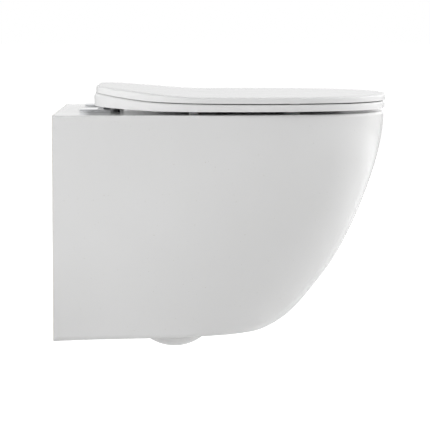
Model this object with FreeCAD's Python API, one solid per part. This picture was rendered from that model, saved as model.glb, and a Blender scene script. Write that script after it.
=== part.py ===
import FreeCAD, Part
import os
from math import cos, pi, radians, sin, sqrt

# A wall-hung toilet: a glazed ceramic pan, a slim seat and a slim lid on two
# soft-closing hinges, with the hardware that holds them.
# Millimetres. X to the right when facing the wall, Y into the wall, Z up.
# The origin lies on the wall face, midway between the two wall studs.

# ---- wall connection ------------------------------------------------------
STUD_SPACING = 180.0          # between the two wall studs
RIM_OVER_STUDS = 80.0         # ceramic top above the stud centres
OUTLET_BELOW_RIM = 180.0      # waste outlet centre below the ceramic top
INLET_BELOW_RIM = 45.0        # flush inlet centre below the ceramic top
STUD_DIAMETER = 12.0
STUD_CLEARANCE = 0.5          # radial, stud to sleeve
SLEEVE_WALL = 4.0
WASHER_DIAMETER = 34.0
WASHER_THICKNESS = 3.0
NUT_ACROSS_FLATS = 24.0
NUT_HEIGHT = 10.0

# ---- ceramic pan ----------------------------------------------------------
PAN_WIDTH = 370.0
PAN_REACH = 491.5             # wall to the nose of the ceramic
SKIRT_HEIGHT = 330.5          # ceramic top to the lower edge of the skirt
SHELL_WALL = 10.0
DECK_THICKNESS = 14.0
REAR_WALL = 18.0
REAR_TRIM = 2.0               # taken off the back, which leaves it flat
PAN_TOP_RADIUS = 3.5
PAN_FOOT_RADIUS = 8.0

# Levels of the outside: depth as a share of the skirt height, nose as a share
# of the pan's reach, then half widths as shares of half the pan's width and
# places as shares of its reach: rear half width, place, front half width,
# place and the half width of the nose's control point.
HULL_LEVELS = (
    (0.0, 1.0, 1.0108, 0.3052, 1.0432, 0.757, 0.973),
    (0.3268, 0.9919, 1.0108, 0.3052, 1.0432, 0.757, 0.973),
    (0.6778, 0.8728, 0.9892, 0.2848, 1.0162, 0.6104, 0.2703),
    (0.938, 0.7548, 0.7838, 0.1872, 0.9027, 0.3967, 0.6378),
    (1.0, 0.6368, 0.7838, 0.1872, 0.9027, 0.3967, 0.6378),
)
HULL_STATIONS = (0.0, 0.2, 0.4, 0.6, 0.8, 0.9, 1.0)

# Inside of the bowl: depth below the ceramic top, reach of its rear, distance
# of its front from the nose and of its side from the widest line of the pan.
BOWL_WALL = 10.0
BOWL_FLOOR = 262.0            # flat floor round the mouth of the trap
BOWL_SECTIONS = (
    (0.0, 116.0, 45.5, 51.0),
    (55.0, 122.0, 50.5, 55.0),
    (115.0, 150.0, 75.5, 73.0),
    (175.0, 177.0, 125.5, 103.0),
    (225.0, 180.0, 191.5, 131.0),
    (BOWL_FLOOR, 174.0, 241.5, 149.0),
)
BOWL_ROUNDNESS = 0.75         # how square the ends of a bowl section are
BOWL_SKIN = 1.0               # least glaze side of the bowl's outer wall
TOP_SKIN = 0.5

# ---- trap and waste outlet ------------------------------------------------
TRAP_BORE = 54.0
TRAP_WALL = 9.0
TRAP_BEND_RADIUS = 34.0       # centre line of the lower bend
TRAP_BEND_REACH = 174.0       # lower bend centre from the wall
TRAP_BEND_DEPTH = 292.0       # lower bend centre below the ceramic top
WEIR_BEND_RADIUS = 40.0
SPIGOT_DIAMETER = 102.0
SPIGOT_WALL = 9.0
SPIGOT_TAPER = 48.0           # length from the trap bore to the spigot bore
SPIGOT_RECESS = 2.0           # spigot end behind the wall face
SPIGOT_WELL = 24.0            # free room round the spigot

# ---- flush inlet ----------------------------------------------------------
INLET_DIAMETER = 55.0
FLUSH_PIPE_DIAMETER = 45.0
GASKET_LENGTH = 34.0
GASKET_RECESS = 0.5           # gasket behind the wall face
GASKET_LIP = 2.5
CHAMBER_WIDTH = 112.0
CHAMBER_DEPTH = 58.0          # height of the flush chamber
CHAMBER_ROOF = 12.0
CHAMBER_LENGTH = 76.0
CHAMBER_WALL = 7.0
FLUSH_SLOT_WIDTH = 84.0
FLUSH_SLOT_HEIGHT = 14.0
FLUSH_SLOT_DEPTH = 40.0       # slot centre below the ceramic top

# ---- underside ------------------------------------------------------------
UNDERSIDE_REACH = 262.0
UNDERSIDE_REAR_WIDTH = 290.0
UNDERSIDE_FRONT_WIDTH = 200.0
UNDERSIDE_CORNER = 30.0

# ---- seat and lid ---------------------------------------------------------
SEAT_OVERHANG = 1.7           # seat past the nose of the ceramic
SEAT_REAR = 55.0              # wall to the rear of the seat
SEAT_UNDERSIDE = 5.0          # above the ceramic top
SEAT_THICKNESS = 10.35
SEAT_EDGE_RADIUS = 3.0
SEAT_TAIL_ANGLE = -42.0       # end of the round knuckle, up from straight back
SEAT_REAR_UNDERSIDE = 8.9     # raised underside over the hinge covers
SEAT_REAR_LIFT = 150.0        # where the underside starts to rise
SEAT_TOE_RADIUS = 4.0
LID_OVERHANG = 2.7
LID_REAR = 58.0
LID_GAP = 1.5                 # lid to seat
LID_THICKNESS = 9.1
LID_SKIN = 4.5
LID_LIP = 14.0                # width of the lid's down-turned edge
LID_EDGE_RADIUS = 3.0
LID_HUMP = 38.9               # top of the lid over its hinge
LID_TAIL_ANGLE = 61.0         # end of the lid's hollow round the knuckle
LID_REAR_RADIUS = 3.5
# Plan of the seat and lid: half widths as shares of half the pan's width and
# places as shares of the pan's reach, the shoulder's from the rear edge.
PLAN_REAR_HALF = 0.3027
PLAN_SHOULDER = ((0.5297, 0.0), (0.8108, 0.0773), (1.0108, 0.2238), (0.9946, 0.3967))
PLAN_FLANK = ((1.0027, 0.6206), (0.9892, 0.8342))
PLAN_NOSE_HALF = 0.7568
# Ramp of the seam between seat and lid, and that of the lid's top: reaches of
# the start and of the control points, and the drop at the last of these.
SEAM_RAMP_START = 310.0
SEAM_RAMP_BEND = 121.0
SEAM_RAMP_ANGLE = 97.0        # where the seam leaves the knuckle
SEAM_RAMP_TANGENT = 72.5
HUMP_RAMP_START = 215.0
HUMP_RAMP_BEND = 171.0
HUMP_RAMP_REACH = 118.0
HUMP_RAMP_DROP = 4.2
SEAT_HOLE_REAR = 158.0
SEAT_HOLE_FRONT = 63.5        # from the nose of the ceramic
SEAT_HOLE_SIDE = 78.0         # from the widest line of the pan

# ---- hinges ---------------------------------------------------------------
HINGE_SPACING = 155.0         # between the two seat fixings
HINGE_REACH = 64.4            # seat fixings from the wall
AXIS_REACH = 60.5             # hinge axis from the wall
AXIS_HEIGHT = 22.3            # hinge axis above the ceramic top
PIN_DIAMETER = 6.0
RUNNING_CLEARANCE = 0.05      # radial, pin to seat and lid
PRESS_CLEARANCE = 0.01        # radial, pin to hinge foot
PIN_INNER_END = 6.0           # pin ends from the middle of the seat
PIN_OUTER_END = 69.5
KNUCKLE_RADIUS = 6.0
BODY_CLEARANCE = 0.3          # between pieces that turn past each other
SLOT_INNER = 29.0             # seat slot for the lid lug and the hinge foot
SLOT_OUTER = 64.0
SLOT_FRONT = 84.5
LUG_INNER = 30.5
LUG_OUTER = 46.0
ARM_INNER = 48.5
ARM_OUTER = 62.5
ARM_HEIGHT = 10.0
ARM_RISE = 3.2                # top of the arm above the axis
POST_REACH = 74.0
LUG_WEB_RISE = 3.0            # lug's web above the knuckle
FOOT_DIAMETER = 57.0
FOOT_THICKNESS = 4.0
PAD_THICKNESS = 0.5
COVER_DIAMETER = 61.4
COVER_HEIGHT = 5.5
COVER_SKIN = 0.8
COVER_EDGE_RADIUS = 1.8
BOLT_DIAMETER = 6.0
BOLT_HEAD_DIAMETER = 12.0
BOLT_HEAD_HEIGHT = 2.6
BOLT_LENGTH = 52.0
HINGE_HOLE_DIAMETER = 14.0
BUSH_FLANGE_DIAMETER = 22.0
BUSH_FLANGE = 3.0
HINGE_NUT_DIAMETER = 24.0
HINGE_NUT_HEIGHT = 12.0
DAMPER_DIAMETER = 9.4
DAMPER_INNER_END = 4.0
DAMPER_OUTER_END = 27.0

# ---- buffers --------------------------------------------------------------
BUFFER_WIDTH = 9.0
BUFFER_GAP = 0.3
# Each seat buffer's distance from the widest line of the pan, reach, length.
SEAT_BUFFER_PLACES = ((33.0, 205.0, 14.0), (52.0, 349.0, 23.0))
LID_BUFFER_PLACE = (20.0, 352.0, 15.0)
LID_BUFFER_WIDTH = 7.0
BUFFER_FLAT = 0.5             # straight part left of a buffer's round end

TOP = RIM_OVER_STUDS          # height of the ceramic top in this frame
HALF = PAN_WIDTH / 2
SEAT_TOP = SEAT_UNDERSIDE + SEAT_THICKNESS
SIDES = (("left", -1), ("right", 1))
OVERLAP = 1.0                 # by which tools pass the faces that they cut
FAR = 2 * PAN_REACH           # longer than anything here
MATCH = 0.01                  # within which two places are the same


def point(x, reach, height):
    """A point given by its reach from the wall and height over the rim."""
    return FreeCAD.Vector(x, -reach, TOP + height)


def box(x0, x1, reach0, reach1, low, high):
    """Box between two x values, two reaches from the wall and two heights."""
    corner = FreeCAD.Vector(x0, -reach1, TOP + low)
    return Part.makeBox(x1 - x0, reach1 - reach0, high - low, corner)


def rod(radius, length, base, direction):
    """Round rod from a base point along a direction."""
    return Part.makeCylinder(radius, length, base, direction)


def bezier(points):
    """One Bezier edge through its control points."""
    curve = Part.BezierCurve()
    curve.setPoles(points)
    return curve.toShape()


def single_solid(shape):
    """The one solid that a boolean left."""
    refined = shape.removeSplitter()
    return max(refined.Solids, key=lambda solid: solid.Volume)


def round_edges(shape, edges, radius):
    """Round the given edges of a solid."""
    return shape.makeFillet(radius, edges) if edges else shape


def mirror(shape):
    """The same piece on the other side of the middle plane."""
    return shape.mirror(FreeCAD.Vector(0, 0, 0), FreeCAD.Vector(1, 0, 0))


def write(name, shape):
    """Write one piece, after a look at its soundness."""
    bad = [s for s in shape.Solids if not s.isValid() or s.Volume <= 0]
    print(name, len(shape.Solids), "solids", round(shape.Volume / 1000, 2), "cm3", "BAD" if bad else "")
    shape.exportStep("parts/" + name + ".step")


# ---- pan ------------------------------------------------------------------
def hull_net(inset, rear, roof, raised):
    """Control net of one side of the hull, drawn in by a wall thickness."""
    rows = []
    for depth, nose, x1, y1, x2, y2, x3 in HULL_LEVELS:
        height = -roof - depth * (SKIRT_HEIGHT - roof - raised)
        front = nose * PAN_REACH - inset
        rows.append([
            point(HALF - inset, rear, height),
            point(x1 * HALF - inset, y1 * PAN_REACH, height),
            point(x2 * HALF - inset, y2 * PAN_REACH - inset / 2, height),
            point(x3 * HALF - inset / 2, front, height),
            point(0, front, height),
        ])
    return rows


def hull_section(surface, level):
    """Closed outline of the hull at one level of its curved flank."""
    flank = surface.uIso(level)
    right = flank.toShape()
    start = flank.value(0)
    rear_edge = Part.makeLine(FreeCAD.Vector(-start.x, start.y, start.z), start)
    return Part.Wire(Part.__sortEdges__([rear_edge, right, mirror(right)]))


def hull(inset=0.0, rear=0.0, roof=0.0, raised=0.0):
    """Closed solid of the hull: two curved flanks, a flat rear, top and foot."""
    rows = hull_net(inset, rear, roof, raised)
    surface = Part.BezierSurface()
    surface.increase(len(rows) - 1, len(rows[0]) - 1)
    for i, row in enumerate(rows):
        for j, pole in enumerate(row):
            surface.setPole(i + 1, j + 1, pole)
    return Part.makeLoft([hull_section(surface, level) for level in HULL_STATIONS], True, False)


def bowl_wire(depth, rear, front, half):
    """Egg-shaped section of the bowl, as two matching halves."""
    middle = (rear + front) / 2
    end = BOWL_ROUNDNESS * half
    widest = (16 * half - 8 * end) / 6
    right = [point(0, rear, -depth), point(end, rear, -depth), point(widest, middle, -depth),
             point(end, front, -depth), point(0, front, -depth)]
    edge = bezier(right)
    return Part.Wire([edge, mirror(edge)])


def bowl(wall):
    """Bowl body, grown by a wall thickness, down to its small flat floor."""
    wires = []
    for depth, rear, from_nose, from_side in BOWL_SECTIONS:
        lower = wall if depth == BOWL_FLOOR else 0.0
        front = PAN_REACH - from_nose
        wires.append(bowl_wire(depth + lower, rear - wall, front + wall, HALF - from_side + wall))
    return Part.makeLoft(wires, True, False)


def pipe_bend(radius, start, centre, angle):
    """Round bend that leaves an upright pipe and turns about a level axis."""
    up = FreeCAD.Vector(0, 0, 1)
    disc = Part.Face(Part.Wire(Part.makeCircle(radius, start, up)))
    outward = 1 if start.y > centre.y else -1
    far = centre.y + outward * FAR
    corners = [FreeCAD.Vector(x, y, centre.z) for x, y in
               ((-FAR, centre.y), (FAR, centre.y), (FAR, far), (-FAR, far), (-FAR, centre.y))]
    clear_of_axis = Part.Face(Part.makePolygon(corners))
    return disc.common(clear_of_axis).revolve(centre, FreeCAD.Vector(1, 0, 0), angle)


def trap(radius):
    """Round pipe of the trap: down leg, lower bend, up leg and weir bend."""
    down = TRAP_BEND_REACH + TRAP_BEND_RADIUS
    up = TRAP_BEND_REACH - TRAP_BEND_RADIUS
    low = -TRAP_BEND_DEPTH
    weir = -OUTLET_BELOW_RIM - WEIR_BEND_RADIUS
    upward = FreeCAD.Vector(0, 0, 1)
    down_leg = rod(radius, BOWL_WALL - BOWL_FLOOR - low, point(0, down, low), upward)
    lower_bend = pipe_bend(radius, point(0, down, low), point(0, TRAP_BEND_REACH, low), 180)
    up_leg = rod(radius, weir - low, point(0, up, low), upward)
    weir_bend = pipe_bend(radius, point(0, up, weir), point(0, up - WEIR_BEND_RADIUS, weir), -90)
    return down_leg.fuse([lower_bend, up_leg, weir_bend])


def spigot(grow):
    """Waste way from the weir to the wall face, grown by a wall thickness."""
    level = TRAP_BEND_REACH - TRAP_BEND_RADIUS - WEIR_BEND_RADIUS
    narrow = TRAP_BORE / 2 + grow
    wide = SPIGOT_DIAMETER / 2 - SPIGOT_WALL + grow
    taper = Part.makeCone(narrow, wide, SPIGOT_TAPER, point(0, level, -OUTLET_BELOW_RIM), FreeCAD.Vector(0, 1, 0))
    start = level - SPIGOT_TAPER
    length = start - SPIGOT_RECESS
    tube = rod(wide, length, point(0, start, -OUTLET_BELOW_RIM), FreeCAD.Vector(0, 1, 0))
    return taper.fuse(tube)


def chamber(grow):
    """Flush chamber behind the bowl, grown by a wall thickness."""
    side = CHAMBER_WIDTH / 2 + grow
    front = REAR_WALL + CHAMBER_LENGTH + grow
    floor = -CHAMBER_ROOF - CHAMBER_DEPTH - grow
    return box(-side, side, REAR_WALL - OVERLAP, front, floor, -CHAMBER_ROOF + min(grow, CHAMBER_ROOF / 2))


def underside_opening():
    """Opening in the foot of the skirt, through which the nuts are reached."""
    rear = UNDERSIDE_REAR_WIDTH / 2
    front = UNDERSIDE_FRONT_WIDTH / 2
    low = -SKIRT_HEIGHT - SHELL_WALL
    corners = [point(-rear, REAR_WALL, low), point(rear, REAR_WALL, low), point(front, UNDERSIDE_REACH, low),
               point(-front, UNDERSIDE_REACH, low), point(-rear, REAR_WALL, low)]
    through = FreeCAD.Vector(0, 0, 2 * SHELL_WALL + PAN_FOOT_RADIUS)
    prism = Part.Face(Part.makePolygon(corners)).extrude(through)
    upright = [e for e in prism.Edges if abs(e.Vertexes[0].X - e.Vertexes[-1].X) < MATCH
               and abs(e.Vertexes[0].Y - e.Vertexes[-1].Y) < MATCH]
    return round_edges(prism, upright, UNDERSIDE_CORNER)


def edges_at(shape, height):
    """Edges of a hull that lie level at a height, without the rear one."""
    found = []
    for edge in shape.Edges:
        level = all(abs(v.Z - TOP - height) < MATCH for v in edge.Vertexes)
        if level and min(v.Y for v in edge.Vertexes) < -OVERLAP:
            found.append(edge)
    return found


def pan():
    """The fired ceramic body."""
    outside = hull(rear=-REAR_TRIM)
    outside = round_edges(outside, edges_at(outside, 0.0), PAN_TOP_RADIUS)
    outside = round_edges(outside, edges_at(outside, -SKIRT_HEIGHT), PAN_FOOT_RADIUS)
    hollow = hull(SHELL_WALL, REAR_WALL, DECK_THICKNESS, SHELL_WALL)
    body = outside.cut(hollow).cut(underside_opening())
    inner = bowl(BOWL_WALL).common(hull(BOWL_SKIN, BOWL_SKIN, TOP_SKIN))
    inner = inner.fuse([trap(TRAP_BORE / 2 + TRAP_WALL), spigot(SPIGOT_WALL), chamber(CHAMBER_WALL)])
    body = body.cut(rear_hole(SPIGOT_DIAMETER / 2 + SPIGOT_WELL, 0, -OUTLET_BELOW_RIM))
    body = body.fuse(inner)
    body = body.cut(box(-FAR, FAR, -FAR, 0, -FAR, FAR))
    slot_top = -FLUSH_SLOT_DEPTH + FLUSH_SLOT_HEIGHT / 2
    slot_front = BOWL_SECTIONS[1][1] + BOWL_WALL
    slot = box(-FLUSH_SLOT_WIDTH / 2, FLUSH_SLOT_WIDTH / 2, REAR_WALL + CHAMBER_LENGTH - OVERLAP, slot_front,
               slot_top - FLUSH_SLOT_HEIGHT, slot_top)
    cuts = [bowl(0.0), trap(TRAP_BORE / 2), spigot(0.0), chamber(0.0), slot,
            rear_hole(INLET_DIAMETER / 2, 0, -INLET_BELOW_RIM)]
    for side in (-1, 1):
        cuts.append(rear_hole(sleeve_radius(), side * STUD_SPACING / 2, -RIM_OVER_STUDS))
        hole = point(side * HINGE_SPACING / 2, HINGE_REACH, -DECK_THICKNESS - CHAMBER_DEPTH)
        depth = CHAMBER_DEPTH + DECK_THICKNESS + OVERLAP
        cuts.append(rod(HINGE_HOLE_DIAMETER / 2, depth, hole, FreeCAD.Vector(0, 0, 1)))
    for tool in cuts:
        body = body.cut(tool)
    return single_solid(body)


def rear_hole(radius, x, height):
    """Rod that cuts a round hole through the rear wall."""
    start = point(x, REAR_WALL + OVERLAP, height)
    return rod(radius, REAR_WALL + 2 * OVERLAP, start, FreeCAD.Vector(0, 1, 0))


# ---- wall fixings and flush gasket -----------------------------------------
def sleeve_radius():
    """Outer radius of a stud sleeve, which is also its hole in the ceramic."""
    return STUD_DIAMETER / 2 + STUD_CLEARANCE + SLEEVE_WALL


def ring(outer, inner, length, base, direction):
    """Plain ring."""
    return rod(outer, length, base, direction).cut(rod(inner, length, base, direction))


def hexagon(across_flats, height, base, direction):
    """Six-sided nut blank standing along Y."""
    radius = across_flats / 2 / cos(radians(30))
    corners = []
    for i in range(7):
        angle = pi / 3 * i
        corners.append(base + FreeCAD.Vector(radius * cos(angle), 0, radius * sin(angle)))
    return Part.Face(Part.makePolygon(corners)).extrude(direction * height)


def wall_fixings(side):
    """Sleeve, washer and nut on one wall stud."""
    bore = STUD_DIAMETER / 2 + STUD_CLEARANCE
    out = FreeCAD.Vector(0, -1, 0)
    x = side * STUD_SPACING / 2
    sleeve = ring(sleeve_radius(), bore, REAR_WALL, FreeCAD.Vector(x, 0, 0), out)
    washer = ring(WASHER_DIAMETER / 2, bore, WASHER_THICKNESS, FreeCAD.Vector(x, -REAR_WALL, 0), out)
    seat_of_nut = FreeCAD.Vector(x, -REAR_WALL - WASHER_THICKNESS, 0)
    nut = hexagon(NUT_ACROSS_FLATS, NUT_HEIGHT, seat_of_nut, out).cut(rod(bore, NUT_HEIGHT, seat_of_nut, out))
    return sleeve, washer, nut


def inlet_gasket():
    """Rubber sleeve that seals the flush pipe in the ceramic."""
    back = point(0, GASKET_RECESS, -INLET_BELOW_RIM)
    out = FreeCAD.Vector(0, -1, 0)
    body = rod(INLET_DIAMETER / 2, REAR_WALL - GASKET_RECESS, back, out)
    nose = rod(INLET_DIAMETER / 2 - GASKET_LIP, GASKET_LENGTH, back, out)
    return body.fuse(nose).cut(rod(FLUSH_PIPE_DIAMETER / 2, GASKET_LENGTH, back, out))


# ---- seat and lid -----------------------------------------------------------
def plan_wire(rear, reach, height, inset=0.0):
    """Egg-shaped plan of the seat and lid, drawn in by an inset."""
    rear_half = PLAN_REAR_HALF * HALF - inset
    back = rear + inset
    front = reach - inset
    shoulder = [point(rear_half, back, height)]
    for x, forward in PLAN_SHOULDER:
        shoulder.append(point(x * HALF - inset, back + forward * PAN_REACH, height))
    flank = [shoulder[-1]]
    for x, forward in PLAN_FLANK:
        flank.append(point(x * HALF - inset, forward * PAN_REACH, height))
    flank.append(point(PLAN_NOSE_HALF * HALF - inset / 2, front, height))
    flank.append(point(0, front, height))
    right = [bezier(shoulder), bezier(flank)]
    left = [mirror(edge) for edge in right]
    rear_edge = Part.makeLine(point(-rear_half, back, height), point(rear_half, back, height))
    return Part.Wire(Part.__sortEdges__([rear_edge] + right + left))


def plan_prism(rear, reach, low, high, inset=0.0):
    """Upright prism over the plan."""
    face = Part.Face(plan_wire(rear, reach, low, inset))
    return face.extrude(FreeCAD.Vector(0, 0, high - low))


def side_prism(edges, half):
    """Side profile, drawn on the middle plane, carried out both ways."""
    face = Part.Face(Part.Wire(Part.__sortEdges__(edges)))
    face.translate(FreeCAD.Vector(-half, 0, 0))
    return face.extrude(FreeCAD.Vector(2 * half, 0, 0))


def around_axis(radius, angle):
    """Point at an angle up from straight back, round the hinge axis."""
    return point(0, AXIS_REACH - radius * cos(radians(angle)), AXIS_HEIGHT + radius * sin(radians(angle)))


def knuckle_arc(radius, start, end):
    """Arc round the hinge axis between two angles."""
    return Part.Arc(around_axis(radius, start), around_axis(radius, (start + end) / 2), around_axis(radius, end)).toShape()


def quarter_arc(reach, radius, start, end):
    """Rounded corner behind a reach, between two heights a radius apart."""
    inset = radius * (1 - sqrt(0.5))
    middle = start + (inset if end > start else -inset)
    return Part.Arc(point(0, reach + radius, start), point(0, reach + inset, middle), point(0, reach, end)).toShape()


def seam_ramp(low, radius):
    """Rise of the seam from its level part to the knuckle, which it touches."""
    end = around_axis(radius, SEAM_RAMP_ANGLE)
    slope = cos(radians(SEAM_RAMP_ANGLE)) / sin(radians(SEAM_RAMP_ANGLE))
    touch = end + FreeCAD.Vector(0, -SEAM_RAMP_TANGENT, slope * SEAM_RAMP_TANGENT)
    return bezier([point(0, SEAM_RAMP_START, low), point(0, SEAM_RAMP_BEND, low), touch, end])


def seat_profile():
    """Side view of the seat with its thick rear and round knuckle."""
    tail = around_axis(KNUCKLE_RADIUS, SEAT_TAIL_ANGLE)
    tail_reach = -tail.y
    heel = SEAT_REAR_UNDERSIDE
    toe_top = heel + SEAT_TOE_RADIUS
    edges = [
        Part.makeLine(point(0, FAR, SEAT_UNDERSIDE), point(0, FAR, SEAT_TOP)),
        Part.makeLine(point(0, FAR, SEAT_TOP), point(0, SEAM_RAMP_START, SEAT_TOP)),
        seam_ramp(SEAT_TOP, KNUCKLE_RADIUS),
        knuckle_arc(KNUCKLE_RADIUS, SEAM_RAMP_ANGLE, SEAT_TAIL_ANGLE),
        Part.makeLine(tail, point(0, tail_reach, toe_top)),
        quarter_arc(tail_reach, SEAT_TOE_RADIUS, heel, toe_top),
        Part.makeLine(point(0, tail_reach + SEAT_TOE_RADIUS, heel), point(0, SEAT_REAR_LIFT, SEAT_UNDERSIDE)),
        Part.makeLine(point(0, SEAT_REAR_LIFT, SEAT_UNDERSIDE), point(0, FAR, SEAT_UNDERSIDE)),
    ]
    return side_prism(edges, PAN_WIDTH)


def seat_hole():
    """Egg-shaped hole of the seat."""
    wire = bowl_wire(0, SEAT_HOLE_REAR, PAN_REACH - SEAT_HOLE_FRONT, HALF - SEAT_HOLE_SIDE)
    return Part.Face(wire).extrude(FreeCAD.Vector(0, 0, 2 * LID_HUMP))


def rim_edges(shape, up):
    """Edges between upright sides and the top (up 1) or the underside (up -1)."""
    found = []
    for edge in shape.Edges:
        middle = edge.valueAt((edge.FirstParameter + edge.LastParameter) / 2)
        slopes = []
        for face in shape.ancestorsOfType(edge, Part.Face):
            u, v = face.Surface.parameter(middle)
            slopes.append(up * face.normalAt(u, v).z)
        if max(slopes) > 0.7 and min(abs(s) for s in slopes) < 0.05:
            found.append(edge)
    return found


def axis_rod(radius, inner, outer, side):
    """Rod along the hinge axis between two distances from the middle."""
    return rod(radius, outer - inner, point(side * inner, AXIS_REACH, AXIS_HEIGHT), FreeCAD.Vector(side, 0, 0))


def axis_bore(radius, inner, outer, side):
    """Rod that cuts a bore along the hinge axis, past both its ends."""
    return axis_rod(radius, inner - OVERLAP, outer + OVERLAP, side)


def seat():
    """Seat ring with its rear block, slots and pin bores."""
    blank = plan_prism(SEAT_REAR, PAN_REACH + SEAT_OVERHANG, 0, LID_HUMP).common(seat_profile())
    body = single_solid(blank.cut(seat_hole()))
    body = round_edges(body, rim_edges(body, 1), SEAT_EDGE_RADIUS)
    running = PIN_DIAMETER / 2 + RUNNING_CLEARANCE
    for side in (-1, 1):
        x0, x1 = sorted((side * SLOT_INNER, side * SLOT_OUTER))
        body = body.cut(box(x0, x1, 0, SLOT_FRONT, 0, LID_HUMP))
        body = body.cut(axis_bore(running, PIN_INNER_END, PIN_OUTER_END, side))
        body = body.cut(axis_rod(DAMPER_DIAMETER / 2 + PRESS_CLEARANCE, DAMPER_INNER_END, SLOT_INNER + OVERLAP, side))
    return single_solid(body)


def lid_profile(drop):
    """Side view of the lid; drop lowers the top to leave a hollow below it."""
    under = SEAT_TOP + LID_GAP
    top = under + LID_THICKNESS - drop
    crown = LID_HUMP - drop
    radius = KNUCKLE_RADIUS + BODY_CLEARANCE
    tail = around_axis(radius, LID_TAIL_ANGLE)
    tail_reach = -tail.y
    corner = tail_reach + LID_REAR_RADIUS
    edges = [
        Part.makeLine(point(0, FAR, under), point(0, FAR, top)),
        Part.makeLine(point(0, FAR, top), point(0, HUMP_RAMP_START, top)),
        bezier([point(0, HUMP_RAMP_START, top), point(0, HUMP_RAMP_BEND, top),
                point(0, HUMP_RAMP_REACH, crown - HUMP_RAMP_DROP), point(0, corner, crown)]),
        quarter_arc(tail_reach, LID_REAR_RADIUS, crown, crown - LID_REAR_RADIUS),
        Part.makeLine(point(0, tail_reach, crown - LID_REAR_RADIUS), tail),
        knuckle_arc(radius, LID_TAIL_ANGLE, SEAM_RAMP_ANGLE),
        seam_ramp(under, radius),
        Part.makeLine(point(0, SEAM_RAMP_START, under), point(0, FAR, under)),
    ]
    return side_prism(edges, PAN_WIDTH)


def lid():
    """Lid shell with a down-turned edge and two hinge lugs."""
    reach = PAN_REACH + LID_OVERHANG
    body = single_solid(plan_prism(LID_REAR, reach, 0, 2 * LID_HUMP).common(lid_profile(0.0)))
    body = round_edges(body, rim_edges(body, 1), LID_EDGE_RADIUS)
    hollow = plan_prism(LID_REAR, reach, 0, 2 * LID_HUMP, LID_LIP).common(lid_profile(LID_SKIN))
    hollow = hollow.common(box(-FAR, FAR, SEAM_RAMP_START, FAR, 0, 2 * LID_HUMP))
    body = body.cut(hollow)
    lug_top = AXIS_HEIGHT + KNUCKLE_RADIUS + LUG_WEB_RISE
    for side in (-1, 1):
        x0, x1 = sorted((side * LUG_INNER, side * LUG_OUTER))
        lug = axis_rod(KNUCKLE_RADIUS, LUG_INNER, LUG_OUTER, side)
        web = box(x0, x1, AXIS_REACH - KNUCKLE_RADIUS / 2, AXIS_REACH + KNUCKLE_RADIUS, AXIS_HEIGHT, lug_top)
        body = body.fuse(lug.fuse(web))
        body = body.cut(axis_bore(PIN_DIAMETER / 2 + RUNNING_CLEARANCE, LUG_INNER, LUG_OUTER, side))
    return single_solid(body)


# ---- hinges ------------------------------------------------------------------
def hinge_foot(side):
    """Cast foot: round base, post and arm with the eye that holds the pin."""
    up = FreeCAD.Vector(0, 0, 1)
    x = side * HINGE_SPACING / 2
    x0, x1 = sorted((side * ARM_INNER, side * ARM_OUTER))
    base = rod(FOOT_DIAMETER / 2, FOOT_THICKNESS, point(x, HINGE_REACH, PAD_THICKNESS), up)
    half = ARM_HEIGHT / 2
    arm = box(x0, x1, AXIS_REACH, POST_REACH + half, AXIS_HEIGHT - half, AXIS_HEIGHT + ARM_RISE)
    post = box(x0, x1, POST_REACH - half, POST_REACH + half, PAD_THICKNESS, AXIS_HEIGHT)
    eye = axis_rod(half, ARM_INNER, ARM_OUTER, side)
    body = base.fuse([arm, post, eye])
    body = body.cut(axis_bore(PIN_DIAMETER / 2 + PRESS_CLEARANCE, ARM_INNER, ARM_OUTER, side))
    shank = BOLT_DIAMETER / 2 + PRESS_CLEARANCE
    body = body.cut(rod(shank, FOOT_THICKNESS, point(x, HINGE_REACH, PAD_THICKNESS), up))
    head = point(x, HINGE_REACH, PAD_THICKNESS + FOOT_THICKNESS - BOLT_HEAD_HEIGHT)
    body = body.cut(rod(BOLT_HEAD_DIAMETER / 2 + RUNNING_CLEARANCE, BOLT_HEAD_HEIGHT, head, up))
    return single_solid(body)


def hinge_cover(side):
    """Bright round cover over the foot, with a window for the post."""
    up = FreeCAD.Vector(0, 0, 1)
    x = side * HINGE_SPACING / 2
    base = point(x, HINGE_REACH, 0)
    body = rod(COVER_DIAMETER / 2, COVER_HEIGHT, base, up)
    rim = [e for e in body.Edges if e.Closed and abs(e.Vertexes[0].Z - TOP - COVER_HEIGHT) < MATCH]
    body = round_edges(body, rim, COVER_EDGE_RADIUS)
    hollow = rod(COVER_DIAMETER / 2 - 2 * COVER_SKIN, COVER_HEIGHT - COVER_SKIN, base, up)
    x0, x1 = sorted((side * (ARM_INNER - BODY_CLEARANCE), side * (ARM_OUTER + BODY_CLEARANCE)))
    half = ARM_HEIGHT / 2 + BODY_CLEARANCE
    window = box(x0, x1, POST_REACH - half, POST_REACH + half, 0, COVER_HEIGHT + OVERLAP)
    return single_solid(body.cut(hollow).cut(window))


def hinge_pad(side):
    """Thin washer between the foot and the glaze."""
    up = FreeCAD.Vector(0, 0, 1)
    base = point(side * HINGE_SPACING / 2, HINGE_REACH, 0)
    return ring(FOOT_DIAMETER / 2, BOLT_DIAMETER / 2 + PRESS_CLEARANCE, PAD_THICKNESS, base, up)


def hinge_bolt(side):
    """Bolt from the foot down through the ceramic."""
    x = side * HINGE_SPACING / 2
    down = FreeCAD.Vector(0, 0, -1)
    top = PAD_THICKNESS + FOOT_THICKNESS
    head = rod(BOLT_HEAD_DIAMETER / 2, BOLT_HEAD_HEIGHT, point(x, HINGE_REACH, top), down)
    return head.fuse(rod(BOLT_DIAMETER / 2, BOLT_LENGTH, point(x, HINGE_REACH, top), down))


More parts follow.
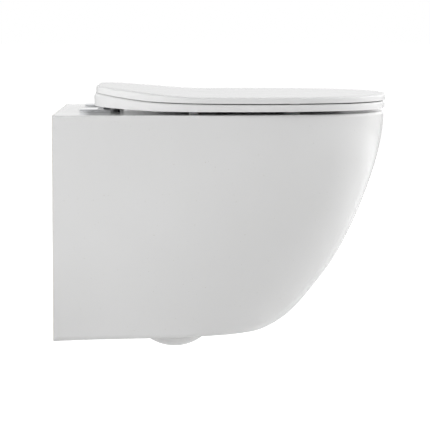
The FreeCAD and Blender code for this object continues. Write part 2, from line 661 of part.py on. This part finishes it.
def hinge_bush(side):
    """Rubber bush that centres the bolt in the ceramic from below."""
    x = side * HINGE_SPACING / 2
    up = FreeCAD.Vector(0, 0, 1)
    base = point(x, HINGE_REACH, -DECK_THICKNESS - BUSH_FLANGE)
    body = rod(BUSH_FLANGE_DIAMETER / 2, BUSH_FLANGE, base, up)
    body = body.fuse(rod(HINGE_HOLE_DIAMETER / 2, BUSH_FLANGE + DECK_THICKNESS - OVERLAP, base, up))
    return body.cut(rod(BOLT_DIAMETER / 2 + PRESS_CLEARANCE, DECK_THICKNESS + BUSH_FLANGE, base, up))


def hinge_nut(side):
    """Plastic wing-free hand nut under the bush."""
    x = side * HINGE_SPACING / 2
    down = FreeCAD.Vector(0, 0, -1)
    base = point(x, HINGE_REACH, -DECK_THICKNESS - BUSH_FLANGE)
    return ring(HINGE_NUT_DIAMETER / 2, BOLT_DIAMETER / 2 + PRESS_CLEARANCE, HINGE_NUT_HEIGHT, base, down)


def damper(side):
    """Soft-close damper round the pin, held in the seat's rear block."""
    outer = axis_rod(DAMPER_DIAMETER / 2, DAMPER_INNER_END, DAMPER_OUTER_END, side)
    return outer.cut(axis_rod(PIN_DIAMETER / 2 + RUNNING_CLEARANCE, PIN_INNER_END - OVERLAP, DAMPER_OUTER_END, side))


# ---- buffers -------------------------------------------------------------------
def buffer(x, reach, length, width, low, high):
    """Stadium-shaped pad lying along the seat."""
    pad = box(x - width / 2, x + width / 2, reach - length / 2, reach + length / 2, low, high)
    upright = [e for e in pad.Edges if abs(e.Vertexes[0].Z - e.Vertexes[-1].Z) > MATCH]
    return round_edges(pad, upright, width / 2 - BUFFER_FLAT)


def seat_buffers():
    """Four pads under the seat."""
    pads = []
    for from_side, reach, length in SEAT_BUFFER_PLACES:
        for side in (-1, 1):
            x = side * (HALF - from_side)
            pads.append(buffer(x, reach, length, BUFFER_WIDTH, BUFFER_GAP, SEAT_UNDERSIDE))
    return Part.makeCompound(pads)


def lid_buffers():
    """Two pads under the edge of the lid."""
    from_side, reach, length = LID_BUFFER_PLACE
    pads = []
    for side in (-1, 1):
        x = side * (HALF - from_side)
        pads.append(buffer(x, reach, length, LID_BUFFER_WIDTH, SEAT_TOP + BUFFER_GAP, SEAT_TOP + LID_GAP))
    return Part.makeCompound(pads)


os.makedirs("parts", exist_ok=True)
write("pan", pan())
write("inlet_gasket", inlet_gasket())
write("seat", seat())
write("lid", lid())
write("seat_buffers", seat_buffers())
write("lid_buffers", lid_buffers())
for name, side in SIDES:
    sleeve, washer, nut = wall_fixings(side)
    write("stud_sleeve_" + name, sleeve)
    write("wall_washer_" + name, washer)
    write("wall_nut_" + name, nut)
    write("hinge_foot_" + name, hinge_foot(side))
    write("hinge_cover_" + name, hinge_cover(side))
    write("hinge_pad_" + name, hinge_pad(side))
    write("hinge_bolt_" + name, hinge_bolt(side))
    write("hinge_bush_" + name, hinge_bush(side))
    write("hinge_nut_" + name, hinge_nut(side))
    write("hinge_pin_" + name, axis_rod(PIN_DIAMETER / 2, PIN_INNER_END, PIN_OUTER_END, side))
    write("damper_" + name, damper(side))
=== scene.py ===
from math import radians

import bpy
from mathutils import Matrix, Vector

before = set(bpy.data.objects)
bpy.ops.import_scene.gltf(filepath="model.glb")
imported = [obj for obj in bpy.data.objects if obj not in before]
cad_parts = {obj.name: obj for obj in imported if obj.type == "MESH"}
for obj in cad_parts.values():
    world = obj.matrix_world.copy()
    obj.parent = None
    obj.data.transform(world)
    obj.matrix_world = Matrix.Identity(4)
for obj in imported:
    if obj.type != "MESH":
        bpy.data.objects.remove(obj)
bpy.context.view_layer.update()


# ---- pan -----------------------------------------------------------------------------
# The pan is one hollow casting of vitreous china, sprayed with a white glaze and
# fired. The glaze is glossy and a little wavy, with rare fine specks, and it stops
# short of the faces that touch the wall and the kiln shelf, which stay matt cream.
class Socket:
    """An output of a shader node, on which arithmetic adds Math nodes."""

    def __init__(self, recipe, output):
        self.recipe = recipe
        self.output = output

    def beside(self, key):
        """Another output of the same node."""
        return Socket(self.recipe, self.output.node.outputs[key])

    def math(self, operation, first, second):
        return self.recipe.node("ShaderNodeMath", {"operation": operation}, {0: first, 1: second})

    def __add__(self, other):
        return self.math("ADD", self, other)

    def __radd__(self, other):
        return self.math("ADD", other, self)

    def __rsub__(self, other):
        return self.math("SUBTRACT", other, self)

    def __mul__(self, other):
        return self.math("MULTIPLY", self, other)

    def __rmul__(self, other):
        return self.math("MULTIPLY", other, self)

    def __gt__(self, other):
        return self.math("GREATER_THAN", self, other)

    def __lt__(self, other):
        return self.math("LESS_THAN", self, other)

    def either(self, other):
        return self.math("MAXIMUM", self, other)


class Recipe:
    """The node tree of one finish."""

    def __init__(self, owner):
        self.owner = owner
        owner.use_nodes = True
        self.tree = owner.node_tree
        self.tree.nodes.clear()

    def node(self, kind, settings, inputs, output=0):
        """Adds a node of a kind, with its settings and its inputs."""
        made = self.tree.nodes.new(kind)
        for key, value in settings.items():
            setattr(made, key, value)
        for key, value in inputs.items():
            if isinstance(value, Socket):
                self.tree.links.new(value.output, made.inputs[key])
            else:
                made.inputs[key].default_value = value
        return Socket(self, made.outputs[output]) if made.outputs else None

    def place(self):
        """Position on the object, in metres."""
        return self.node("ShaderNodeTexCoord", {}, {}, "Object")

    def noise(self, place, texture):
        """Soft noise between 0 and 1, from its features in a metre and its finer layers."""
        scale, detail = texture
        return self.node("ShaderNodeTexNoise", {}, {"Vector": place, "Scale": scale, "Detail": detail})

    def streaks(self, place, texture):
        """Noise drawn out along an axis, by other features in a metre along each axis."""
        scales, detail = texture
        drawn = self.node("ShaderNodeVectorMath", {"operation": "MULTIPLY"}, {0: place, 1: scales})
        return self.noise(drawn, (1.0, detail))

    def blend(self, share, first, second):
        """Colour from the first to the second by a share."""
        # For colours, a Mix node has its inputs at 6 and 7 and its output at 2.
        settings = {"data_type": "RGBA"}
        return self.node("ShaderNodeMix", settings, {0: share, 6: first, 7: second}, 2)

    def relief(self, height, shape):
        """Normal of a surface whose height varies, from its depth in metres and strength."""
        depth, strength = shape
        return self.node("ShaderNodeBump", {}, {"Height": height, "Distance": depth, "Strength": strength})

    def surface(self, **inputs):
        """Ends a material with its shader, and gives the material back."""
        sockets = {key.replace("_", " "): value for key, value in inputs.items()}
        shader = self.node("ShaderNodeBsdfPrincipled", {}, sockets)
        self.node("ShaderNodeOutputMaterial", {}, {"Surface": shader})
        return self.owner


def finish(name):
    """An empty recipe for a new material."""
    return Recipe(bpy.data.materials.new(name))


def dress(material, *names):
    """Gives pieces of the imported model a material."""
    for name in names:
        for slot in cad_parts[name].material_slots:
            slot.material = material


def both(name):
    """Names of a piece's left and right twins."""
    return name + "_left", name + "_right"


WALL_FACE = -0.0006           # bare clay behind this
FOOT_FACE = -0.2502           # bare clay from here down
FOOT_FACE_END = -0.2508       # and glaze again below this, on the trap
GLAZE_WHITE = (0.86, 0.86, 0.86, 1)
GLAZE_THIN = (0.835, 0.835, 0.83, 1)
GLAZE_SPECK = (0.62, 0.6, 0.56, 1)
BISQUE = (0.74, 0.7, 0.62, 1)
BISQUE_STAIN = (0.66, 0.61, 0.53, 1)
# Noises, here and below: features in a metre, and finer layers on them.
GLAZE_CLOUDS = (9.0, 2.0)
SPECK_NOISE = (620.0, 0.0)
SPECK_ABOVE = 0.86            # noise above this is a speck
CLAY_STAINS = (60.0, 4.0)
CLAY_GRAIN = (1500.0, 3.0)
GLAZE_WAVES = (34.0, 2.0)
GLAZE_PEEL = (420.0, 2.0)
PEEL_HEIGHT = 0.06            # of the peel, as a share of the waves'
GLAZE_RUB = (22.0, 2.0)
GLAZE_ROUGHNESS = 0.07
RUB_ROUGHNESS = 0.05          # added where the glaze is rubbed
CLAY_ROUGHNESS = 0.62         # added on bare clay
PAN_RELIEF = (0.00022, 0.6)   # as in all reliefs: depth in metres, and strength


def glazed_china():
    """White glaze over china, bare on the wall face and the foot."""
    recipe = finish("glazed_china")
    place = recipe.place()
    axes = recipe.node("ShaderNodeSeparateXYZ", {}, {0: place})
    height = axes.beside("Z")
    foot = (height < FOOT_FACE) * (height > FOOT_FACE_END)
    bare = (axes.beside("Y") > WALL_FACE).either(foot)
    glaze = recipe.blend(recipe.noise(place, GLAZE_CLOUDS), GLAZE_WHITE, GLAZE_THIN)
    glaze = recipe.blend(recipe.noise(place, SPECK_NOISE) > SPECK_ABOVE, glaze, GLAZE_SPECK)
    clay = recipe.blend(recipe.noise(place, CLAY_STAINS), BISQUE, BISQUE_STAIN)
    waves = recipe.noise(place, GLAZE_WAVES) + PEEL_HEIGHT * recipe.noise(place, GLAZE_PEEL)
    skin = waves * (1.0 - bare) + recipe.noise(place, CLAY_GRAIN) * bare
    rubbed = recipe.noise(place, GLAZE_RUB)
    return recipe.surface(
        Base_Color=recipe.blend(bare, glaze, clay),
        Roughness=GLAZE_ROUGHNESS + RUB_ROUGHNESS * rubbed + CLAY_ROUGHNESS * bare,
        Normal=recipe.relief(skin, PAN_RELIEF))


dress(glazed_china(), "pan")


# ---- inlet gasket and hinge bushes ---------------------------------------------------
# Moulded black rubber. The gasket is pushed into the flush inlet, and a bush round
# each hinge bolt centres it in the ceramic from below. A bloom greys the surface.
RUBBER_BLACK = (0.028, 0.028, 0.03, 1)
RUBBER_BLOOM = (0.075, 0.075, 0.075, 1)
BLOOM_NOISE = (90.0, 4.0)
MOULD_GRAIN = (1900.0, 2.0)
RUBBER_ROUGHNESS = 0.48
BLOOM_ROUGHNESS = 0.24
RUBBER_RELIEF = (0.00005, 0.5)


def black_rubber():
    """Matt rubber with a dusty bloom and the fine grain of its mould."""
    recipe = finish("black_rubber")
    place = recipe.place()
    bloom = recipe.noise(place, BLOOM_NOISE)
    return recipe.surface(
        Base_Color=recipe.blend(bloom, RUBBER_BLACK, RUBBER_BLOOM),
        Roughness=RUBBER_ROUGHNESS + BLOOM_ROUGHNESS * bloom,
        Normal=recipe.relief(recipe.noise(place, MOULD_GRAIN), RUBBER_RELIEF))


dress(black_rubber(), "inlet_gasket", *both("hinge_bush"))


# ---- seat and lid --------------------------------------------------------------------
# Two slim mouldings of white thermoset plastic, pressed in polished steel moulds.
# The lid rests on the seat on two buffers, and both turn on the hinge pins.
PLASTIC_WHITE = (0.88, 0.88, 0.88, 1)
PLASTIC_SHADE = (0.862, 0.862, 0.86, 1)
FLOW_CLOUDS = (14.0, 2.0)
SMEAR_NOISE = (40.0, 2.0)
WIPE_MARKS = ((60.0, 900.0, 900.0), 3.0)
PLASTIC_ROUGHNESS = 0.12
SMEAR_ROUGHNESS = 0.06
WIPE_ROUGHNESS = 0.05
PRESS_WAVES = (55.0, 2.0)
PRESS_GRAIN = (800.0, 2.0)
PRESS_GRAIN_HEIGHT = 0.04     # as a share of the waves'
PLASTIC_RELIEF = (0.00012, 0.5)


def polished_thermoset():
    """Hard polished plastic with faint flow clouds and hairline wiping marks."""
    recipe = finish("polished_thermoset")
    place = recipe.place()
    wiped = recipe.streaks(place, WIPE_MARKS)
    smeared = recipe.noise(place, SMEAR_NOISE)
    skin = recipe.noise(place, PRESS_WAVES) + PRESS_GRAIN_HEIGHT * recipe.noise(place, PRESS_GRAIN)
    return recipe.surface(
        Base_Color=recipe.blend(recipe.noise(place, FLOW_CLOUDS), PLASTIC_WHITE, PLASTIC_SHADE),
        Roughness=PLASTIC_ROUGHNESS + SMEAR_ROUGHNESS * smeared + WIPE_ROUGHNESS * wiped,
        Normal=recipe.relief(skin, PLASTIC_RELIEF))


dress(polished_thermoset(), "seat", "lid")


# ---- buffers and hinge pads ----------------------------------------------------------
# Soft white elastomer. The buffers are glued under the seat and the lid, and the
# pads lie between the hinge feet and the glaze.
ELASTOMER_WHITE = (0.78, 0.78, 0.77, 1)
ELASTOMER_SOILED = (0.69, 0.69, 0.67, 1)
SOIL_NOISE = (160.0, 4.0)
ELASTOMER_GRAIN = (1300.0, 2.0)
ELASTOMER_ROUGHNESS = 0.42
SOIL_ROUGHNESS = 0.2
ELASTOMER_SCATTER = 0.15
SCATTER_DEPTH = 0.002         # metres that light goes in, here and in nylon
ELASTOMER_RELIEF = (0.00004, 0.5)


def white_elastomer():
    """Cloudy, satin elastomer with a little scattering below its skin."""
    recipe = finish("white_elastomer")
    place = recipe.place()
    soil = recipe.noise(place, SOIL_NOISE)
    return recipe.surface(
        Base_Color=recipe.blend(soil, ELASTOMER_WHITE, ELASTOMER_SOILED),
        Roughness=ELASTOMER_ROUGHNESS + SOIL_ROUGHNESS * soil,
        Subsurface_Weight=ELASTOMER_SCATTER, Subsurface_Scale=SCATTER_DEPTH,
        Normal=recipe.relief(recipe.noise(place, ELASTOMER_GRAIN), ELASTOMER_RELIEF))


dress(white_elastomer(), "seat_buffers", "lid_buffers", *both("hinge_pad"))


# ---- stud sleeves, hinge nuts and dampers --------------------------------------------
# Natural nylon, injection moulded. The sleeves line the stud holes, the nuts hold
# the hinge bolts from below, and the dampers sit round the pins inside the seat.
NYLON_MILKY = (0.82, 0.82, 0.8, 1)
NYLON_WARM = (0.76, 0.755, 0.72, 1)
FLOW_MARKS = ((220.0, 44.0, 44.0), 3.0)
NYLON_GRAIN = (1700.0, 2.0)
NYLON_ROUGHNESS = 0.36
FLOW_ROUGHNESS = 0.16
NYLON_SCATTER = 0.1
NYLON_RELIEF = (0.00004, 0.5)


def moulded_nylon():
    """Milky nylon with flow marks along the moulding and a satin skin."""
    recipe = finish("moulded_nylon")
    place = recipe.place()
    flow = recipe.streaks(place, FLOW_MARKS)
    return recipe.surface(
        Base_Color=recipe.blend(flow, NYLON_MILKY, NYLON_WARM),
        Roughness=NYLON_ROUGHNESS + FLOW_ROUGHNESS * flow,
        Subsurface_Weight=NYLON_SCATTER, Subsurface_Scale=SCATTER_DEPTH,
        Normal=recipe.relief(recipe.noise(place, NYLON_GRAIN), NYLON_RELIEF))


dress(moulded_nylon(), *both("stud_sleeve"), *both("hinge_nut"), *both("damper"))


# ---- wall washers, nuts, hinge bolts and pins ----------------------------------------
# Bright zinc plated steel, turned or stamped and then plated. The nuts pull the pan
# to the wall on its two studs, and the bolts and pins carry seat and lid.
ZINC_BRIGHT = (0.62, 0.63, 0.65, 1)
ZINC_DULL = (0.5, 0.51, 0.54, 1)
DULL_NOISE = (130.0, 3.0)
DRAWN_LINES = ((200.0, 2600.0, 2600.0), 3.0)
ZINC_ROUGHNESS = 0.2
DULL_ROUGHNESS = 0.16
DRAW_ROUGHNESS = 0.1
ZINC_RELIEF = (0.00003, 0.5)


def zinc_plate():
    """Plated steel: drawn lines under the plating and a few duller clouds."""
    recipe = finish("zinc_plate")
    place = recipe.place()
    drawn = recipe.streaks(place, DRAWN_LINES)
    dull = recipe.noise(place, DULL_NOISE)
    return recipe.surface(
        Base_Color=recipe.blend(dull, ZINC_BRIGHT, ZINC_DULL),
        Metallic=1.0,
        Roughness=ZINC_ROUGHNESS + DULL_ROUGHNESS * dull + DRAW_ROUGHNESS * drawn,
        Normal=recipe.relief(drawn, ZINC_RELIEF))


dress(zinc_plate(), *both("wall_washer"), *both("wall_nut"), *both("hinge_bolt"), *both("hinge_pin"))


# ---- hinge feet ----------------------------------------------------------------------
# Die-cast zinc, tumbled to a satin skin. Each foot is bolted through the ceramic,
# and the eye of its arm holds the pin.
CAST_LIGHT = (0.57, 0.58, 0.6, 1)
CAST_DARK = (0.44, 0.45, 0.47, 1)
CAST_TONE = (180.0, 5.0)
CAST_PITS = (1400.0, 2.0)
CAST_ROUGHNESS = 0.34
PIT_ROUGHNESS = 0.18
CAST_RELIEF = (0.00008, 0.6)


def cast_zinc():
    """Satin casting with fine pits and uneven tone."""
    recipe = finish("cast_zinc")
    place = recipe.place()
    pits = recipe.noise(place, CAST_PITS)
    return recipe.surface(
        Base_Color=recipe.blend(recipe.noise(place, CAST_TONE), CAST_LIGHT, CAST_DARK),
        Metallic=1.0,
        Roughness=CAST_ROUGHNESS + PIT_ROUGHNESS * pits,
        Normal=recipe.relief(pits, CAST_RELIEF))


dress(cast_zinc(), *both("hinge_foot"))


# ---- hinge covers --------------------------------------------------------------------
# Round caps of thin brass, pressed, polished and chrome plated. They snap over the
# hinge feet and show as bright discs on the ceramic deck.
CHROME_TINT = (0.76, 0.77, 0.78, 1)
CHROME_SMUDGE = (0.68, 0.69, 0.71, 1)
SMUDGE_NOISE = (70.0, 4.0)
BUFFED_LINES = ((3000.0, 240.0, 3000.0), 2.0)
PLATING_WAVES = (260.0, 2.0)
CHROME_ROUGHNESS = 0.035
SMUDGE_ROUGHNESS = 0.05
BUFF_ROUGHNESS = 0.02
CHROME_RELIEF = (0.00001, 0.3)


def chrome_plate():
    """Mirror plating with faint buffing lines and finger smudges."""
    recipe = finish("chrome_plate")
    place = recipe.place()
    smudge = recipe.noise(place, SMUDGE_NOISE)
    buffed = recipe.streaks(place, BUFFED_LINES)
    return recipe.surface(
        Base_Color=recipe.blend(smudge, CHROME_TINT, CHROME_SMUDGE),
        Metallic=1.0,
        Roughness=CHROME_ROUGHNESS + SMUDGE_ROUGHNESS * smudge + BUFF_ROUGHNESS * buffed,
        Normal=recipe.relief(recipe.noise(place, PLATING_WAVES), CHROME_RELIEF))


dress(chrome_plate(), *both("hinge_cover"))


# ---- floor ---------------------------------------------------------------------------
# A plain white studio floor under the hanging pan. It takes the pan's shadow, glows
# up to plain white to the camera, and looks dimmer in reflections.
FLOOR_LEVEL = -0.46
FLOOR_HALF = 30.0
FLOOR_WHITE = (0.8, 0.8, 0.8, 1)
GLOW_NEAR = 0.7               # under the pan, where its shadow falls
GLOW_FAR = 1.0
SHADOW_REACH = 0.9            # the glow starts to rise here
WHITE_REACH = 2.2             # and is plain white from here on
MIRRORED_FLOOR = 0.45         # share of the glow that reflections show
LIGHT_WHITE = (1, 1, 1, 1)


def shown(recipe, mirrored):
    """One to the camera, a share in reflections, and nil as a light on the object."""
    rays = recipe.node("ShaderNodeLightPath", {}, {})
    direct = rays.beside("Is Camera Ray").either(rays.beside("Is Transmission Ray"))
    return direct.either(mirrored * rays.beside("Is Glossy Ray"))


def floor_paint():
    """Matt white paint that glows for the camera and in mirrors alone, more far out."""
    recipe = finish("floor_paint")
    out = recipe.node("ShaderNodeVectorMath", {"operation": "LENGTH"}, {0: recipe.place()}, "Value")
    glow = recipe.node("ShaderNodeMapRange", {}, {
        "Value": out, "From Min": SHADOW_REACH, "From Max": WHITE_REACH,
        "To Min": GLOW_NEAR, "To Max": GLOW_FAR})
    strength = glow * shown(recipe, MIRRORED_FLOOR)
    matt = recipe.node("ShaderNodeBsdfDiffuse", {}, {"Color": FLOOR_WHITE})
    light = recipe.node("ShaderNodeEmission", {}, {"Color": LIGHT_WHITE, "Strength": strength})
    mixed = recipe.node("ShaderNodeAddShader", {}, {0: matt, 1: light})
    recipe.node("ShaderNodeOutputMaterial", {}, {"Surface": mixed})
    return recipe.owner


floor_mesh = bpy.data.meshes.new("floor")
floor_mesh.from_pydata([
    (-FLOOR_HALF, -FLOOR_HALF, FLOOR_LEVEL), (FLOOR_HALF, -FLOOR_HALF, FLOOR_LEVEL),
    (FLOOR_HALF, FLOOR_HALF, FLOOR_LEVEL), (-FLOOR_HALF, FLOOR_HALF, FLOOR_LEVEL),
], [], [(0, 1, 2, 3)])
floor_mesh.materials.append(floor_paint())
floor = bpy.data.objects.new("floor", floor_mesh)
bpy.context.scene.collection.objects.link(floor)


# ---- studio --------------------------------------------------------------------------
# A white room. It shows as plain white to the camera, and lights the object less, so
# that the soft lamps round it can shape it. Reflections show it dark on the camera's
# side, which gives the glaze and the chrome their contrast.
ROOM_LIGHT = 0.1              # strength as a light, of 1 as the camera sees it
MIRRORED_CAMERA_SIDE = 0.25   # strengths in reflections
MIRRORED_FAR_SIDE = 0.95
DARK_SIDE_END = -0.6          # these two on a scale from -1, the camera's side,
BRIGHT_SIDE_START = 0.3       # to 1, the far side


def white_room():
    """White background, weaker as a light than it looks."""
    world = bpy.data.worlds.new("white_room")
    bpy.context.scene.world = world
    recipe = Recipe(world)
    view = recipe.node("ShaderNodeTexCoord", {}, {}, "Generated")
    to_far_side = recipe.node("ShaderNodeSeparateXYZ", {}, {0: view}, "X")
    mirrored = recipe.node("ShaderNodeMapRange", {}, {
        "Value": to_far_side, "From Min": DARK_SIDE_END, "From Max": BRIGHT_SIDE_START,
        "To Min": MIRRORED_CAMERA_SIDE, "To Max": MIRRORED_FAR_SIDE})
    strength = ROOM_LIGHT + (1.0 - ROOM_LIGHT) * shown(recipe, mirrored)
    glow = recipe.node("ShaderNodeBackground", {}, {"Color": LIGHT_WHITE, "Strength": strength})
    recipe.node("ShaderNodeOutputWorld", {}, {"Surface": glow})


white_room()


# ---- lamps ---------------------------------------------------------------------------
# Large soft boxes round the pan: two in front of its nose, one over it, and two
# beyond its wall face, which graze the side that the camera sees. They stay out of
# reflections, as behind scrims.
LIT_POINT = (0.0, -0.25, -0.08)   # the middle of the object
SOFT_BOXES = {                # place in metres, width in metres, power in watts
    "nose_box": ((-1.0, -2.6, 0.0), 1.4, 17.5),
    "far_box": ((1.4, -2.6, 0.8), 1.6, 30.0),
    "over_box": ((-0.3, -1.9, 1.9), 1.6, 33.0),
    "side_box": ((-2.2, 1.9, 0.6), 1.4, 27.0),
    "wall_box": ((-1.2, 2.6, 0.5), 1.6, 42.0),
}


def soft_box(name, place, width, power):
    """Square soft lamp at a place, turned to the middle of the object."""
    lamp = bpy.data.lights.new(name, "AREA")
    lamp.size = width
    lamp.energy = power
    holder = bpy.data.objects.new(name, lamp)
    holder.location = place
    holder.visible_glossy = False
    holder.rotation_euler = (Vector(LIT_POINT) - Vector(place)).to_track_quat("-Z", "Y").to_euler()
    bpy.context.scene.collection.objects.link(holder)


for name, (place, width, power) in SOFT_BOXES.items():
    soft_box(name, place, width, power)


# ---- camera --------------------------------------------------------------------------
# The photograph's view: square on to the pan's left side, from a little above,
# with the object in the middle of the frame.
CAMERA_PLACE = (-3.713, -0.236, 0.258)
CAMERA_TILT = 5.22            # degrees down
CAMERA_HEADING = -90.0        # degrees about the upright axis, to the right
SENSOR_WIDTH = 36.0           # millimetres
PHOTO_WIDTH = 430.0           # pixels
FOCAL_PIXELS = 2440.0         # focal length, in pixels of the photograph
VIEW_END = 100.0              # metres, past the floor's edge

lens = bpy.data.cameras.new("camera")
lens.sensor_width = SENSOR_WIDTH
lens.lens = FOCAL_PIXELS / PHOTO_WIDTH * SENSOR_WIDTH
lens.clip_end = VIEW_END
camera = bpy.data.objects.new("camera", lens)
camera.location = CAMERA_PLACE
camera.rotation_euler = (radians(90.0 - CAMERA_TILT), 0.0, radians(CAMERA_HEADING))
bpy.context.scene.collection.objects.link(camera)
bpy.context.scene.camera = camera
bpy.context.scene.view_settings.view_transform = "Standard"
